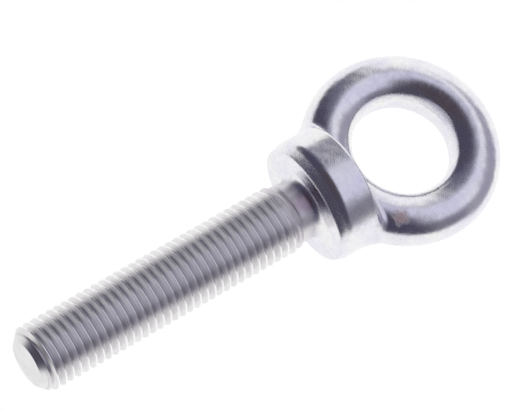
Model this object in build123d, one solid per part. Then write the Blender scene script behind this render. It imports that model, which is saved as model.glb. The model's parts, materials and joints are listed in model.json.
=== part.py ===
"""Collared lifting eye bolt, M16 x 75, drop forged in one piece and zinc plated.

The forging is divided into its four zones. Each zone is a solid of its own, and meets
the next one face to face on a plane square to the bolt's axis:
  eye_ring, collar, neck, threaded_shank

Frame: millimetres. The origin is the centre of the collar's machined seat face.
+Z runs up the bolt's axis through the eye, and Y is the axis of the eye.
"""
from build123d import *
import math
import os

# ---- eye ring ----
eye_diameter = 23.4          # narrowest bore of the eye, on the punched land
ring_bar_diameter = 12.1     # round section of the ring
punched_land_depth = 0.6     # how deep the punched land is cut into that section
punched_land_width = 4.0     # length of that cylindrical land, along Y
mouth_angle = 20.0           # flare from the land to each mouth of the eye
throat_height = 5.3          # from the collar's ridge up to the lowest point of the land

# ---- collar ----
collar_diameter = 29.5
collar_height = 10.4         # from the seat to the ridge around the collar's top
seat_inset_x = 0.6           # from the wall in to the seat's edge, in the plane of the ring
seat_inset_y = 3.1           # from the wall in to the seat's edge, along the axis of the eye
lower_edge_height = 2.4      # from the seat up to the full wall
root_blend_radius = 2.0      # where the ring grows out of the collar
root_margin = 1.2            # from the top of that blend up to the ring's zone

# ---- shank ----
shank_length = 75.0          # from the seat to the free end
thread_diameter = 16.0       # major diameter of the M16 thread
neck_relief = 0.9            # from the thread's crests in to the plain neck
neck_blend_radius = 2.0      # under the collar
neck_plain_length = 4.4      # from the seat down to where the neck begins to widen
neck_length = 8.0            # from the seat down to the full thread
end_chamfer_length = 2.4     # along the bolt's axis
end_chamfer_depth = 2.4      # from the thread's crests in to the flat face of the free end

# ---- worked out from the values above ----
eye_radius = eye_diameter / 2
bar_radius = ring_bar_diameter / 2
bar_circle_radius = eye_radius - punched_land_depth + bar_radius
eye_height = collar_height + throat_height + eye_radius
collar_radius = collar_diameter / 2
thread_radius = thread_diameter / 2
neck_radius = thread_radius - neck_relief
end_face_radius = thread_radius - end_chamfer_depth

# Heights of the planes that divide the forging.
ring_plane = collar_height + root_blend_radius + root_margin
neck_plane = -neck_blend_radius
thread_plane = -neck_length


def eye_opening():
    """Section of what the eye leaves open: X is the distance from its axis, Y is along it."""
    land_end = punched_land_width / 2
    flare = (bar_radius - land_end) * math.tan(math.radians(mouth_angle))
    return Polygon(
        (0, -bar_radius),
        (eye_radius + flare, -bar_radius),
        (eye_radius, -land_end),
        (eye_radius, land_end),
        (eye_radius + flare, bar_radius),
        (0, bar_radius),
        align=None,
    )


def make_ring():
    """A round bar bent to a circle, with its inside trimmed by the punched and flared eye."""
    bar = Rot(90, 0, 0) * Torus(bar_circle_radius, bar_radius)
    return Pos(0, 0, eye_height) * (bar - revolve(eye_opening(), axis=Axis.Y))


def make_collar():
    """The cylindrical wall, on a lower edge that narrows to the oval of the seat."""
    seat = Ellipse(collar_radius - seat_inset_x, collar_radius - seat_inset_y)
    wall_foot = Plane.XY.offset(lower_edge_height) * Circle(collar_radius)
    return loft([seat, wall_foot]) + extrude(wall_foot, collar_height - lower_edge_height)


def make_head():
    """Ring and collar together, with a blend all round where the ring meets the collar."""
    head = make_ring() + make_collar()
    root = [
        edge
        for edge in head.edges().filter_by(GeomType.BSPLINE)
        if edge.bounding_box().min.Z > lower_edge_height
    ]
    return fillet(root, radius=root_blend_radius)


def make_shank():
    """Neck and threaded part, turned from one profile: X is the radius, Y the height.

    The thread is a plain cylinder at its major diameter, with the chamfer of the free end.
    """
    blend_centre = (neck_radius + neck_blend_radius, -neck_blend_radius)
    blend = CenterArc(blend_centre, neck_blend_radius, 180, arc_size=-90)
    outline = Polyline(
        blend @ 0,
        (neck_radius, -neck_plain_length),
        (thread_radius, -neck_length),
        (thread_radius, end_chamfer_length - shank_length),
        (end_face_radius, -shank_length),
        (0, -shank_length),
        (0, 0),
        blend @ 1,
    )
    return revolve(Plane.XZ * make_face([blend, outline]), axis=Axis.Z)


def between(solid, low, high):
    """The slice of a solid between two heights; None leaves that side open."""
    if low is not None:
        solid = split(solid, bisect_by=Plane.XY.offset(low), keep=Keep.TOP)
    if high is not None:
        solid = split(solid, bisect_by=Plane.XY.offset(high), keep=Keep.BOTTOM)
    return solid


def make_zones():
    head = make_head()
    shank = make_shank()
    return {
        "eye_ring": between(head, ring_plane, None),
        "collar": between(head, None, ring_plane) + between(shank, neck_plane, None),
        "neck": between(shank, thread_plane, neck_plane),
        "threaded_shank": between(shank, None, thread_plane),
    }


os.makedirs("parts", exist_ok=True)
for node, solid in make_zones().items():
    export_step(solid, f"parts/{node}.step")
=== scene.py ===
"""The looks of the eye bolt: a plated forging with a real helical thread.

Each CAD zone is replaced by a finer mesh of the same zone. The head is one smooth field,
in which ring, collar and neck blend into each other, and the shank is one helical grid.
Both are cut on the planes that divide the CAD nodes. Shapes are worked out in millimetres
and turned to metres when their mesh is made.
"""
import json
import math

import bmesh
import bpy
import numpy as np
from mathutils import Matrix, Vector


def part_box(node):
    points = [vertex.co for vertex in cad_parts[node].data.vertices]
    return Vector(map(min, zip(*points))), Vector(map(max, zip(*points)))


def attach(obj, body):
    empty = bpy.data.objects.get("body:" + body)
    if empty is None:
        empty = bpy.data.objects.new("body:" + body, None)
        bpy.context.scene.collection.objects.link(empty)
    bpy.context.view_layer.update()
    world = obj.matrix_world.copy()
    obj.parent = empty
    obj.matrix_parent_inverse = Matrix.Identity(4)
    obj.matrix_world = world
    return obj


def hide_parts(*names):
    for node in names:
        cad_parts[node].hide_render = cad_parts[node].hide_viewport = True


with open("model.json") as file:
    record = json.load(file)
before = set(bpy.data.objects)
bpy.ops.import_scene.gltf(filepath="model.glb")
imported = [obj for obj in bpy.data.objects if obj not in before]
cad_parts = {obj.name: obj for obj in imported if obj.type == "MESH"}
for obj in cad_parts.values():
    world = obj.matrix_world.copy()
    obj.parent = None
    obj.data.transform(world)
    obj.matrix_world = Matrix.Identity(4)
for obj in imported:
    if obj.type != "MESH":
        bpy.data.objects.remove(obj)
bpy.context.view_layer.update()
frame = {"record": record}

MM = 0.001


# ---- sizes that the CAD model gives, in millimetres ----

def box_mm(node):
    low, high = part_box(node)
    return np.array(low) / MM, np.array(high) / MM


mounts = {mount["name"]: mount for mount in frame["record"]["mounts"]}
ring_low, ring_high = box_mm("eye_ring")
collar_high = box_mm("collar")[1]
neck_high = box_mm("neck")[1]
shank_low, shank_high = box_mm("threaded_shank")

EYE_HEIGHT = mounts["eye"]["pos_m"][2] / MM
EYE_RADIUS = mounts["eye"]["dims"]["r_mm"]
LAND_HALF = mounts["eye"]["dims"]["length_mm"] / 2
THREAD_RADIUS = mounts["thread"]["dims"]["r_mm"]
BAR_RADIUS = ring_high[1]
BAR_CIRCLE = ring_high[0] - BAR_RADIUS
COLLAR_RADIUS = collar_high[1]
RING_PLANE = ring_low[2]
NECK_PLANE = neck_high[2]
THREAD_PLANE = shank_high[2]
SHANK_END = shank_low[2]

# ---- shapes that the boxes don't give, in millimetres ----
MOUTH_ANGLE = 20.0            # degrees, the flare from the land to each mouth of the eye
MOUTH_SLOPE = math.tan(math.radians(MOUTH_ANGLE))
MOUTH_EDGE = 0.45             # rounding where the eye's flare meets the ring
COLLAR_HEIGHT = 10.4
RIDGE_RADIUS = 0.7
SEAT_HALF_X = 14.2
SEAT_HALF_Y = 11.7
LOWER_EDGE_HEIGHT = 2.4
FOOT_ROUND = 2.4              # rounding where the lower edge reaches the wall
FOOT_ROUND_LEAST = 0.05
SEAT_EDGE = 0.25              # rounding of the seat's outline
ROOT_BLEND = 2.6              # fillet between the ring and the collar
NECK_RADIUS = 7.1
NECK_BLEND = 2.0
NECK_PLAIN_LENGTH = 4.4
PITCH = 2.0
FIRST_CREST = 1.12            # above the free end, where the helix crosses the X axis
THREAD_DEPTH = 0.6134 * PITCH
CREST_HALF = 1 / 18           # half width of the crest, as a share of the pitch
ROOT_HALF = 1 / 12            # half width of the root, as a share of the pitch
CHAMFER_LENGTH = 2.4
END_RADIUS = 5.6
FIELD_CELL = 0.28             # grid of the head's mesh
COLUMNS = 112                 # round one turn of the thread
ROWS_PER_PITCH = 24
LUMP_HEIGHT = 0.06            # deepest hollow that hand grinding leaves in the forging
LUMP_LENGTHS = (2.6, 3.3, 4.1, 5.2, 6.7, 8.3)
LUMP_SEED = 16

# ---- tolerances and spare rows ----
OFF_AXIS = 1e-9               # keeps a point on the axis from dividing by zero
LEAST_SLOPE_SQUARED = 0.1     # keeps a step along a weak slope short
SPARE_BELOW = 2               # pitches from the start of the thread's grid to its first crest
SPARE_IN_ALL = 3              # pitches that the grid is longer than the shank
MERGE_DISTANCE = 1e-7         # metres
FLAT_FACE = 0.999             # how nearly along Z the normal of a cut face points
AT_CUT = 0.001                # millimetres


# ---- the head as a distance field ----

def sharp_and(a, b, radius):
    """What both fields hold, with the edge between them rounded."""
    outer = np.sqrt(np.maximum(a + radius, 0) ** 2 + np.maximum(b + radius, 0) ** 2)
    return np.minimum(np.maximum(a, b), -radius) + outer


def blended_or(a, b, radius):
    """What either field holds, with a fillet where they meet."""
    inner = np.sqrt(np.maximum(radius - a, 0) ** 2 + np.maximum(radius - b, 0) ** 2)
    return np.maximum(np.minimum(a, b), radius) - inner


def make_lumps():
    """Direction and phase of one gentle wave for each length."""
    random = np.random.default_rng(LUMP_SEED)
    waves = []
    for length in LUMP_LENGTHS:
        way = random.normal(size=3)
        way *= 2 * math.pi / length / np.linalg.norm(way)
        waves.append((way, random.uniform(0, 2 * math.pi)))
    return waves


LUMPS = make_lumps()


def hollows(x, y, z):
    """How far grinding has taken the surface down, from 0 to LUMP_HEIGHT."""
    total = 0
    for way, phase in LUMPS:
        total = total + np.sin(x * way[0] + y * way[1] + z * way[2] + phase)
    return (total / len(LUMPS) + 1) * LUMP_HEIGHT / 2


def ring_field(x, y, z):
    from_eye = np.hypot(x, z - EYE_HEIGHT)
    bar = np.hypot(from_eye - BAR_CIRCLE, y) - BAR_RADIUS
    mouth = EYE_RADIUS + np.maximum(np.abs(y) - LAND_HALF, 0) * MOUTH_SLOPE
    return sharp_and(bar, mouth - from_eye, MOUTH_EDGE)


def collar_field(x, y, z):
    from_axis = np.hypot(x, y) + OFF_AXIS
    seat = 1 / np.sqrt((x / from_axis / SEAT_HALF_X) ** 2 + (y / from_axis / SEAT_HALF_Y) ** 2)
    lean = (COLLAR_RADIUS - seat) / LOWER_EDGE_HEIGHT
    foot = (from_axis - seat - lean * z) / np.hypot(1, lean)
    # The rounding of two faces at a blunt angle: the usual one, on the sine of that angle.
    blunt = 1 - 1 / np.hypot(1, lean)
    gap = foot - (from_axis - COLLAR_RADIUS)
    reach = FOOT_ROUND * blunt + FOOT_ROUND_LEAST
    share = np.maximum(reach - np.abs(gap), 0) / reach
    side = np.maximum(foot, from_axis - COLLAR_RADIUS) + reach * share**2 / 4
    top = sharp_and(side, z - COLLAR_HEIGHT, RIDGE_RADIUS)
    return sharp_and(top, -z, SEAT_EDGE)


def neck_field(x, y, z):
    return np.maximum(np.hypot(x, y) - NECK_RADIUS, z - COLLAR_HEIGHT / 2)


def head_field(points):
    x, y, z = points
    head = blended_or(ring_field(x, y, z), collar_field(x, y, z), ROOT_BLEND)
    above_seat = np.clip(z / LOWER_EDGE_HEIGHT, 0, 1)
    head = head + hollows(x, y, z) * above_seat
    return blended_or(head, neck_field(x, y, z), NECK_BLEND)


def field_slope(field, points, step=0.02):
    """Gradient of a field at 3 x n points, by central differences."""
    slope = np.empty_like(points)
    for axis in range(3):
        shift = np.zeros((3, 1))
        shift[axis] = step
        slope[axis] = (field(points + shift) - field(points - shift)) / (2 * step)
    return slope


def field_mesh(field, low, high, cell):
    """Vertices and quads of the field's zero surface, one vertex for each cell that it crosses."""
    ticks = [np.arange(a, b + cell, cell) for a, b in zip(low, high)]
    grid = np.stack(np.meshgrid(*ticks, indexing="ij"))
    value = field(grid.reshape(3, -1)).reshape(grid.shape[1:])
    inside = value < 0
    shape = [n - 1 for n in value.shape]
    total = np.zeros((3, *shape))
    count = np.zeros(shape)
    crossings = []
    for axis in range(3):
        head = [slice(None)] * 3
        tail = [slice(None)] * 3
        head[axis] = slice(1, None)
        tail[axis] = slice(None, -1)
        crossed = np.argwhere(inside[tuple(head)] != inside[tuple(tail)])
        here = tuple(crossed.T)
        ahead = crossed.copy()
        ahead[:, axis] += 1
        ahead = tuple(ahead.T)
        share = value[here] / (value[here] - value[ahead])
        point = grid[(slice(None), *here)].copy()
        point[axis] += share * cell
        sides = [other for other in range(3) if other != axis]
        around = []
        for step in ((0, 0), (1, 0), (1, 1), (0, 1)):
            home = crossed.copy()
            home[:, sides[0]] -= step[0]
            home[:, sides[1]] -= step[1]
            around.append(home)
            place = tuple(home.T)
            for part in range(3):
                np.add.at(total[part], place, point[part])
            np.add.at(count, place, 1)
        flip = inside[here] == (axis != 1)
        crossings.append((np.stack(around, axis=1), flip))
    used = count > 0
    index = np.full(shape, -1)
    index[used] = np.arange(used.sum())
    vertices = total[:, used] / count[used]
    quads = []
    for around, flip in crossings:
        faces = index[tuple(np.moveaxis(around, -1, 0))]
        faces[~flip] = faces[~flip][:, ::-1]
        quads.append(faces)
    return vertices, np.concatenate(quads)


def settle(field, vertices, rounds=4):
    """Moves the vertices along the field's slope until they lie on its surface."""
    for _ in range(rounds):
        slope = field_slope(field, vertices)
        squared = np.maximum((slope**2).sum(axis=0), LEAST_SLOPE_SQUARED)
        vertices = vertices - slope * field(vertices) / squared
    return vertices


# ---- the shank as a radius over angle and height ----

def groove_share(turn):
    """How deep the thread's groove is, from 0 on the crest to 1 at the root."""
    from_crest = np.abs(turn - np.round(turn))
    return np.clip((from_crest - CREST_HALF) / (0.5 - ROOT_HALF - CREST_HALF), 0, 1)


def shank_radius(turn, z):
    """turn counts pitches along the helix, so it is a whole number on each crest."""
    rise = np.clip((z - THREAD_PLANE) / (-NECK_PLAIN_LENGTH - THREAD_PLANE), 0, 1) ** 2
    blank = THREAD_RADIUS + (NECK_RADIUS - THREAD_RADIUS) * rise
    threaded = blank - THREAD_DEPTH * (1 - rise) * groove_share(turn)
    chamfer = END_RADIUS + (z - SHANK_END) * (THREAD_RADIUS - END_RADIUS) / CHAMFER_LENGTH
    return np.minimum(threaded, chamfer)


def turn_at(x, y, z):
    """Pitches along the helix from its first crest."""
    return (z - SHANK_END - FIRST_CREST) / PITCH - np.arctan2(y, x) / (2 * math.pi)


def shank_field(points):
    x, y, z = points
    return np.hypot(x, y) - shank_radius(turn_at(x, y, z), z)


def shank_mesh():
    """A grid whose rows follow the helix, so that the edges of the thread are clean.

    Rows that run past either end are pressed flat against it, and what falls together is
    merged when the mesh is made.
    """
    rows = math.ceil((NECK_PLANE - SHANK_END) / PITCH + SPARE_IN_ALL) * ROWS_PER_PITCH
    row = np.arange(rows)[:, None]
    column = np.arange(COLUMNS)[None, :]
    turn = row / ROWS_PER_PITCH - SPARE_BELOW + 0 * column
    z = SHANK_END + FIRST_CREST + (turn + column / COLUMNS) * PITCH
    z = np.clip(z, SHANK_END, NECK_PLANE)
    on_helix = (z - SHANK_END - FIRST_CREST) / PITCH - column / COLUMNS
    radius = shank_radius(on_helix, z)
    angle = column / COLUMNS * 2 * math.pi
    vertices = np.stack([radius * np.cos(angle), radius * np.sin(angle), z]).reshape(3, -1)
    quads = []
    for c in range(COLUMNS):
        shift = 0
        after = c + 1
        if after == COLUMNS:
            after, shift = 0, ROWS_PER_PITCH
        r = np.arange(0, rows - 1 - shift)
        quads.append(
            np.stack(
                [
                    r * COLUMNS + c,
                    (r + shift) * COLUMNS + after,
                    (r + shift + 1) * COLUMNS + after,
                    (r + 1) * COLUMNS + c,
                ],
                axis=1,
            )
        )
    return vertices, np.concatenate(quads)


# ---- meshes to pieces ----

def to_bmesh(vertices, quads):
    mesh = bpy.data.meshes.new("raw")
    mesh.from_pydata((vertices.T * MM).tolist(), [], quads.tolist())
    form = bmesh.new()
    form.from_mesh(mesh)
    bpy.data.meshes.remove(mesh)
    bmesh.ops.remove_doubles(form, verts=form.verts, dist=MERGE_DISTANCE)
    bmesh.ops.dissolve_degenerate(form, edges=form.edges, dist=MERGE_DISTANCE)
    close(form)
    return form


def close(form):
    """Caps the open ends that a cut leaves."""
    edges = [edge for edge in form.edges if edge.is_boundary]
    if edges:
        bmesh.ops.holes_fill(form, edges=edges, sides=0)


def zone(form, low, high):
    """A copy of the mesh between two heights in millimetres, closed where it was cut."""
    part = form.copy()
    for height, side in ((low, -1), (high, 1)):
        if height is None:
            continue
        geometry = part.verts[:] + part.edges[:] + part.faces[:]
        bmesh.ops.bisect_plane(
            part,
            geom=geometry,
            dist=MERGE_DISTANCE,
            plane_co=(0, 0, height * MM),
            plane_no=(0, 0, side),
            clear_outer=True,
        )
        close(part)
    return part


def shade(mesh, field):
    """Takes the shading from the slope of the field, so that zones join without a seam.

    Faces square to the axis where the metal was cut, and the free end, stay flat.
    """
    points = np.array([vertex.co for vertex in mesh.vertices]).T / MM
    slope = field_slope(field, points)
    slope /= np.linalg.norm(slope, axis=0)
    normals = np.zeros((len(mesh.loops), 3))
    for polygon in mesh.polygons:
        height = polygon.center[2] / MM
        at_cut = min(abs(height - cut) for cut in (RING_PLANE, NECK_PLANE, THREAD_PLANE, SHANK_END))
        flat = abs(polygon.normal[2]) > FLAT_FACE and at_cut < AT_CUT
        polygon.use_smooth = not flat
        if not flat:
            corners = list(polygon.loop_indices)
            normals[corners] = slope[:, list(polygon.vertices)].T
    mesh.normals_split_custom_set(normals.tolist())


def make_piece(name, form, field, node, material):
    bmesh.ops.recalc_face_normals(form, faces=form.faces)
    mesh = bpy.data.meshes.new(name)
    form.to_mesh(mesh)
    form.free()
    shade(mesh, field)
    piece = bpy.data.objects.new(name, mesh)
    bpy.context.scene.collection.objects.link(piece)
    mesh.materials.append(material)
    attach(piece, "root")
    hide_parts(node)
    return piece


# ---- plating: every pattern is in object coordinates ----

class Finish:
    """A metal material under construction, with the few patterns that the plating needs."""

    def __init__(self, name):
        self.material = bpy.data.materials.new(name)
        self.material.use_nodes = True
        self.nodes = self.material.node_tree.nodes
        self.links = self.material.node_tree.links
        self.shader = self.nodes["Principled BSDF"]
        self.shader.inputs["Metallic"].default_value = 1.0
        self.place = self.nodes.new("ShaderNodeTexCoord").outputs["Object"]

    def link(self, source, target):
        self.links.new(source, target)

    def noise(self, size, detail=2.0, along=1.0, turn=(0, 0, 0)):
        """Cloudy pattern with features of the given size in millimetres.

        They are stretched by the given factor, along Z before the pattern is turned.
        """
        mapping = self.nodes.new("ShaderNodeMapping")
        mapping.vector_type = "TEXTURE"
        mapping.inputs["Rotation"].default_value = [math.radians(angle) for angle in turn]
        mapping.inputs["Scale"].default_value = (1, 1, along)
        self.link(self.place, mapping.inputs["Vector"])
        texture = self.nodes.new("ShaderNodeTexNoise")
        texture.inputs["Scale"].default_value = 1 / (size * MM)
        texture.inputs["Detail"].default_value = detail
        self.link(mapping.outputs["Vector"], texture.inputs["Vector"])
        return texture.outputs["Fac"]

    def ranged(self, value, low, high, new_low, new_high):
        node = self.nodes.new("ShaderNodeMapRange")
        for name, number in zip(("From Min", "From Max", "To Min", "To Max"), (low, high, new_low, new_high)):
            node.inputs[name].default_value = number
        self.link(value, node.inputs["Value"])
        return node.outputs["Result"]

    def math(self, operation, a, b):
        node = self.nodes.new("ShaderNodeMath")
        node.operation = operation
        for socket, value in zip(node.inputs, (a, b)):
            if isinstance(value, (int, float)):
                socket.default_value = value
            else:
                self.link(value, socket)
        return node.outputs[0]

    def tint(self, share, a, b):
        """Colour a where the share is 0 and colour b where it is 1."""
        node = self.nodes.new("ShaderNodeMix")
        node.data_type = "RGBA"
        self.link(share, node.inputs["Factor"])
        for socket, colour in ((node.inputs["A"], a), (node.inputs["B"], b)):
            if isinstance(colour, tuple):
                socket.default_value = (*colour, 1)
            else:
                self.link(colour, socket)
        return node.outputs["Result"]

    def axis_part(self, which):
        split = self.nodes.new("ShaderNodeSeparateXYZ")
        self.link(self.place, split.inputs[0])
        return split.outputs[which]

    def from_axis(self):
        """Distance from the bolt's axis, in metres."""
        x, y = self.axis_part(0), self.axis_part(1)
        squares = self.math("ADD", self.math("MULTIPLY", x, x), self.math("MULTIPLY", y, y))
        return self.math("SQRT", squares, 0.0)

    def near(self, centre, reach):
        """1 at a place given in millimetres, fading to 0 at the given reach."""
        node = self.nodes.new("ShaderNodeVectorMath")
        node.operation = "DISTANCE"
        node.inputs[1].default_value = [value * MM for value in centre]
        self.link(self.place, node.inputs[0])
        return self.ranged(node.outputs["Value"], 0, reach * MM, 1, 0)

    def fillet_shade(self):
        """1 at the painted shade on the neck's fillet by the seat, a dark brown-violet patch that stands in
        for the dark reflection and shade there, fading to 0 around it.
        """
        return self.ranged(self.near(FILLET_SHADE_PLACE, FILLET_SHADE_REACH), 0.1, 0.6, 0, 1)

    def bump(self, height, depth, normal=None):
        """Relief of the given depth in millimetres."""
        node = self.nodes.new("ShaderNodeBump")
        node.inputs["Distance"].default_value = depth * MM
        self.link(height, node.inputs["Height"])
        if normal:
            self.link(normal, node.inputs["Normal"])
        return node.outputs["Normal"]


# Colours of the plating, and the place and reach in millimetres of its rust spot and of the painted shade on
# the neck's fillet.
VIOLET = (0.82, 0.81, 0.89)
WARM = (0.90, 0.89, 0.89)
RUST = (0.36, 0.20, 0.20)
RUST_PLACE = (15.0, -5.6, 15.2)
RUST_REACH = 3.2
# Painted shade: a dark brown-violet patch on the neck's fillet, standing in for its dark reflection and
# shade.
FILLET_SHADE = (0.50, 0.42, 0.48)
FILLET_SHADE_PLACE = (1.3, -7.1, -2.0)
FILLET_SHADE_REACH = 4.0
TURNING_PITCH = 0.35          # between the turning marks on the seat, in millimetres


def ground_plating(name, rust=False, turned=False):
    """Bright plate over a forging that was ground by hand: short crossing strokes.

    rust adds the rust spot, and turned adds the seat's turning marks and the painted shade on the neck's
    fillet.
    """
    finish = Finish(name)
    cloud = finish.noise(6.0, detail=3.0)
    mottle = finish.noise(1.1, detail=3.0)
    strokes = [
        finish.noise(0.16, detail=1.5, along=9, turn=(20, 35, 0)),
        finish.noise(0.20, detail=1.5, along=8, turn=(-25, -50, 20)),
    ]
    grain = finish.noise(0.12, detail=2.0)
    colour = finish.tint(finish.ranged(cloud, 0.35, 0.65, 0, 1), VIOLET, WARM)
    dull = finish.ranged(mottle, 0.35, 0.75, 0, 0.16)
    colour = finish.tint(dull, colour, (0.56, 0.55, 0.62))
    if turned:
        under_seat = finish.ranged(finish.axis_part(2), -1.2 * MM, -0.2 * MM, 1, 0)
        # Painted shade on the neck's fillet just below the seat.
        colour = finish.tint(finish.math("MULTIPLY", finish.fillet_shade(), under_seat), colour, FILLET_SHADE)
    if rust:
        patch = finish.math("MULTIPLY", finish.near(RUST_PLACE, RUST_REACH), mottle)
        stain = finish.ranged(patch, 0.12, 0.42, 0, 0.75)
        colour = finish.tint(stain, colour, RUST)
        finish.link(finish.math("SUBTRACT", 1.0, stain), finish.shader.inputs["Metallic"])
    finish.link(colour, finish.shader.inputs["Base Color"])
    scuff = finish.math("ADD", strokes[0], strokes[1])
    rough = finish.ranged(finish.math("ADD", scuff, mottle), 1.2, 1.8, 0.16, 0.30)
    if turned:
        rough = finish.math("ADD", rough, finish.math("MULTIPLY", under_seat, 0.12))
    finish.link(rough, finish.shader.inputs["Roughness"])
    normal = finish.bump(scuff, 0.008)
    normal = finish.bump(grain, 0.0014, normal)
    normal = finish.bump(mottle, 0.014, normal)
    if turned:
        marks = 2 * math.pi / (TURNING_PITCH * MM)
        rings = finish.math("SINE", finish.math("MULTIPLY", finish.from_axis(), marks), 0)
        on_seat = finish.ranged(finish.axis_part(2), -0.05 * MM, 0.05 * MM, 1, 0)
        normal = finish.bump(finish.math("MULTIPLY", rings, on_seat), 0.003, normal)
    finish.link(normal, finish.shader.inputs["Normal"])
    return finish.material


def neck_plating():
    """Duller plate, with painted shade on the fillet by the seat."""
    finish = Finish("neck_plating")
    cloud = finish.noise(3.0, detail=3.0)
    turning = finish.noise(0.18, detail=2.0, along=0.15)
    colour = finish.tint(finish.ranged(cloud, 0.35, 0.65, 0, 1), (0.88, 0.86, 0.88), (0.76, 0.73, 0.76))
    # Painted shade on the fillet by the seat, with its own metallic value.
    fillet_shade = finish.fillet_shade()
    colour = finish.tint(fillet_shade, colour, FILLET_SHADE)
    finish.link(finish.ranged(fillet_shade, 0, 1, 0.7, 0.95), finish.shader.inputs["Metallic"])
    finish.link(colour, finish.shader.inputs["Base Color"])
    finish.link(finish.ranged(turning, 0.3, 0.7, 0.26, 0.40), finish.shader.inputs["Roughness"])
    normal = finish.bump(turning, 0.002)
    finish.link(finish.bump(cloud, 0.01, normal), finish.shader.inputs["Normal"])
    return finish.material


def thread_plating():
    """Satin plate on a rolled thread, with a painted highlight on the crests, which are also rubbed smoother,
    and painted shade down in the roots.
    """
    finish = Finish("thread_plating")
    cloud = finish.noise(4.0, detail=3.0)
    speckle = finish.noise(0.3, detail=2.0)
    rolled = finish.noise(0.14, detail=2.0, along=0.2)
    radius = finish.from_axis()
    root, crest = (THREAD_RADIUS - THREAD_DEPTH) * MM, THREAD_RADIUS * MM
    deep = finish.ranged(radius, root, root + 0.25 * MM, 1, 0)
    # Painted shade: the roots are tinted darker, where shade falls in the groove.
    painted_root_shade = finish.math("MULTIPLY", deep, finish.ranged(radius, root - 0.25 * MM, root - 0.05 * MM, 0, 1))
    # Crests tinted brighter as a painted highlight, and made smoother as rubbed wear.
    crest_wear_and_highlight = finish.ranged(radius, crest - 0.16 * MM, crest - 0.04 * MM, 0, 1)
    colour = finish.tint(finish.ranged(cloud, 0.35, 0.65, 0, 1), (0.89, 0.88, 0.89), (0.80, 0.79, 0.80))
    colour = finish.tint(finish.ranged(speckle, 0.45, 0.75, 0, 0.3), colour, (0.60, 0.57, 0.55))
    colour = finish.tint(painted_root_shade, colour, (0.70, 0.68, 0.70))
    colour = finish.tint(crest_wear_and_highlight, colour, (0.97, 0.96, 0.97))
    finish.link(colour, finish.shader.inputs["Base Color"])
    rough = finish.ranged(rolled, 0.3, 0.7, 0.26, 0.38)
    rough = finish.math("SUBTRACT", rough, finish.math("MULTIPLY", crest_wear_and_highlight, 0.12))
    finish.link(rough, finish.shader.inputs["Roughness"])
    normal = finish.bump(rolled, 0.002)
    finish.link(finish.bump(speckle, 0.003, normal), finish.shader.inputs["Normal"])
    return finish.material


def build():
    # The head's mesh reaches below the neck's plane, so that the cut there is through metal.
    low = np.array([ring_low[0], -COLLAR_RADIUS, NECK_PLANE * 2]) - 2 * FIELD_CELL
    high = np.array([ring_high[0], COLLAR_RADIUS, ring_high[2]]) + 2 * FIELD_CELL
    vertices, quads = field_mesh(head_field, low, high, FIELD_CELL)
    head = to_bmesh(settle(head_field, vertices), quads)
    shank = to_bmesh(*shank_mesh())
    ring = zone(head, RING_PLANE, None)
    collar = zone(head, NECK_PLANE, RING_PLANE)
    neck = zone(shank, THREAD_PLANE, None)
    thread = zone(shank, None, THREAD_PLANE)
    ring_finish = ground_plating("ring_plating", rust=True)
    collar_finish = ground_plating("collar_plating", turned=True)
    make_piece("forged_eye_ring", ring, head_field, "eye_ring", ring_finish)
    make_piece("forged_collar", collar, head_field, "collar", collar_finish)
    make_piece("plain_neck", neck, shank_field, "neck", neck_plating())
    make_piece("rolled_thread", thread, shank_field, "threaded_shank", thread_plating())


# ---- camera, floor and light ----

CAMERA_AZIMUTH = 15.33        # degrees, as the elevation is
CAMERA_ELEVATION = -21.72
CAMERA_ROLL = 60.36
CAMERA_AIM = (-5.28, -1.43, -10.17)  # millimetres, as the distance and the lens are
CAMERA_DISTANCE = 890.4
CAMERA_LENS = 280.8
SENSOR_WIDTH = 36.0
FLOOR_HEIGHT = -1.5           # metres
FLOOR_HALF = 8.0              # metres


def direction(azimuth, elevation):
    """Unit vector towards a place seen from the object: azimuth 0 is -Y, 90 is +X."""
    a, e = math.radians(azimuth), math.radians(elevation)
    return Vector((math.sin(a) * math.cos(e), -math.cos(a) * math.cos(e), math.sin(e)))


def make_floor():
    """A wide pale floor, so far below that it never comes between a camera and the bolt."""
    form = bmesh.new()
    bmesh.ops.create_grid(form, x_segments=8, y_segments=8, size=FLOOR_HALF)
    mesh = bpy.data.meshes.new("floor")
    form.to_mesh(mesh)
    form.free()
    floor = bpy.data.objects.new("floor", mesh)
    floor.location.z = FLOOR_HEIGHT
    floor.visible_glossy = False
    bpy.context.scene.collection.objects.link(floor)
    pale = bpy.data.materials.new("pale_floor")
    pale.use_nodes = True
    shader = pale.node_tree.nodes["Principled BSDF"]
    shader.inputs["Base Color"].default_value = (0.93, 0.93, 0.93, 1)
    shader.inputs["Roughness"].default_value = 0.9
    shader.inputs["Emission Color"].default_value = (1, 1, 1, 1)
    shader.inputs["Emission Strength"].default_value = 0.25
    mesh.materials.append(pale)


def make_camera():
    aim = Vector(CAMERA_AIM) * MM
    back = direction(CAMERA_AZIMUTH, CAMERA_ELEVATION)
    camera = bpy.data.objects.new("camera", bpy.data.cameras.new("camera"))
    camera.data.sensor_width = SENSOR_WIDTH
    camera.data.lens = CAMERA_LENS
    camera.location = aim + back * CAMERA_DISTANCE * MM
    turn = (-back).to_track_quat("-Z", "Y").to_matrix()
    roll = Matrix.Rotation(math.radians(CAMERA_ROLL), 3, "Z")
    camera.rotation_mode = "QUATERNION"
    camera.rotation_quaternion = (turn @ roll).to_quaternion()
    bpy.context.scene.collection.objects.link(camera)
    bpy.context.scene.camera = camera


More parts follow.
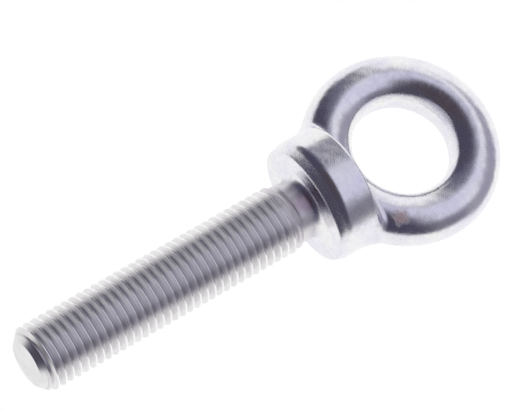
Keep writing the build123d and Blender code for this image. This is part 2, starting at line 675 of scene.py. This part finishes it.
# The studio is a white tent with cards hung in it. Each card covers what is behind it:
# name, azimuth from the camera and half its width, elevation and half its height, how far
# its edges fade (all in degrees), colour. A half width of 360 goes all the way round.
CARDS = [
    ("shade under the bolt", 0, 360, -90, 24, 18, (0.20, 0.19, 0.20)),
    ("dark wall", -13, 92, -40, 54, 12, (0.072, 0.068, 0.105)),
    ("left wall", -62, 34, 16, 11, 12, (0.150, 0.147, 0.205)),
    ("right wall", 56, 25, 20, 20, 18, (0.210, 0.204, 0.255)),
    ("ceiling", 25, 76, 64, 20, 20, (0.33, 0.32, 0.41)),
    ("low ceiling on the right", 64, 36, 48, 14, 18, (0.34, 0.33, 0.41)),
    ("front light", 0, 33, 20, 18, 28, (0.68, 0.68, 0.83)),
    ("warm gap behind the camera", -10, 30, -34, 34, 24, (0.075, 0.062, 0.080)),
]
TENT = (1.02, 1.02, 1.02)


def make_world():
    world = bpy.data.worlds.new("studio")
    world.use_nodes = True
    bpy.context.scene.world = world
    nodes, links = world.node_tree.nodes, world.node_tree.links

    def maths(operation, a, b=0.0):
        node = nodes.new("ShaderNodeMath")
        node.operation = operation
        for socket, value in zip(node.inputs, (a, b)):
            if isinstance(value, (int, float)):
                socket.default_value = value
            else:
                links.new(value, socket)
        return node.outputs[0]

    def cover(angle, centre, half, fade):
        """1 inside the card's span, fading to 0 beyond its edge."""
        off = maths("ABSOLUTE", maths("SUBTRACT", angle, math.radians(centre)))
        node = nodes.new("ShaderNodeMapRange")
        node.interpolation_type = "SMOOTHSTEP"
        node.inputs["From Min"].default_value = math.radians(half + fade / 2)
        node.inputs["From Max"].default_value = math.radians(half - fade / 2)
        links.new(off, node.inputs["Value"])
        return node.outputs["Result"]

    turned = nodes.new("ShaderNodeVectorRotate")
    turned.rotation_type = "Z_AXIS"
    turned.inputs["Angle"].default_value = math.radians(-CAMERA_AZIMUTH)
    links.new(nodes.new("ShaderNodeTexCoord").outputs["Generated"], turned.inputs["Vector"])
    split = nodes.new("ShaderNodeSeparateXYZ")
    links.new(turned.outputs["Vector"], split.inputs[0])
    x, y, z = split.outputs
    azimuth = maths("ARCTAN2", x, maths("MULTIPLY", y, -1.0))
    elevation = maths("ARCSINE", z)
    colour = nodes.new("ShaderNodeRGB").outputs[0]
    colour.default_value = (*TENT, 1)
    for name, card_azimuth, half_width, card_elevation, half_height, fade, shade_of_card in CARDS:
        share = maths(
            "MULTIPLY",
            cover(azimuth, card_azimuth, half_width, fade),
            cover(elevation, card_elevation, half_height, fade),
        )
        mix = nodes.new("ShaderNodeMix")
        mix.data_type = "RGBA"
        mix.label = name
        links.new(share, mix.inputs["Factor"])
        links.new(colour, mix.inputs["A"])
        mix.inputs["B"].default_value = (*shade_of_card, 1)
        colour = mix.outputs["Result"]
    backdrop = nodes.new("ShaderNodeMix")
    backdrop.data_type = "RGBA"
    backdrop.label = "plain white behind the object"
    links.new(nodes.new("ShaderNodeLightPath").outputs["Is Camera Ray"], backdrop.inputs["Factor"])
    links.new(colour, backdrop.inputs["A"])
    backdrop.inputs["B"].default_value = (1, 1, 1, 1)
    links.new(backdrop.outputs["Result"], nodes["Background"].inputs["Color"])
    bpy.context.scene.view_settings.view_transform = "Standard"


build()
make_floor()
make_camera()
make_world()
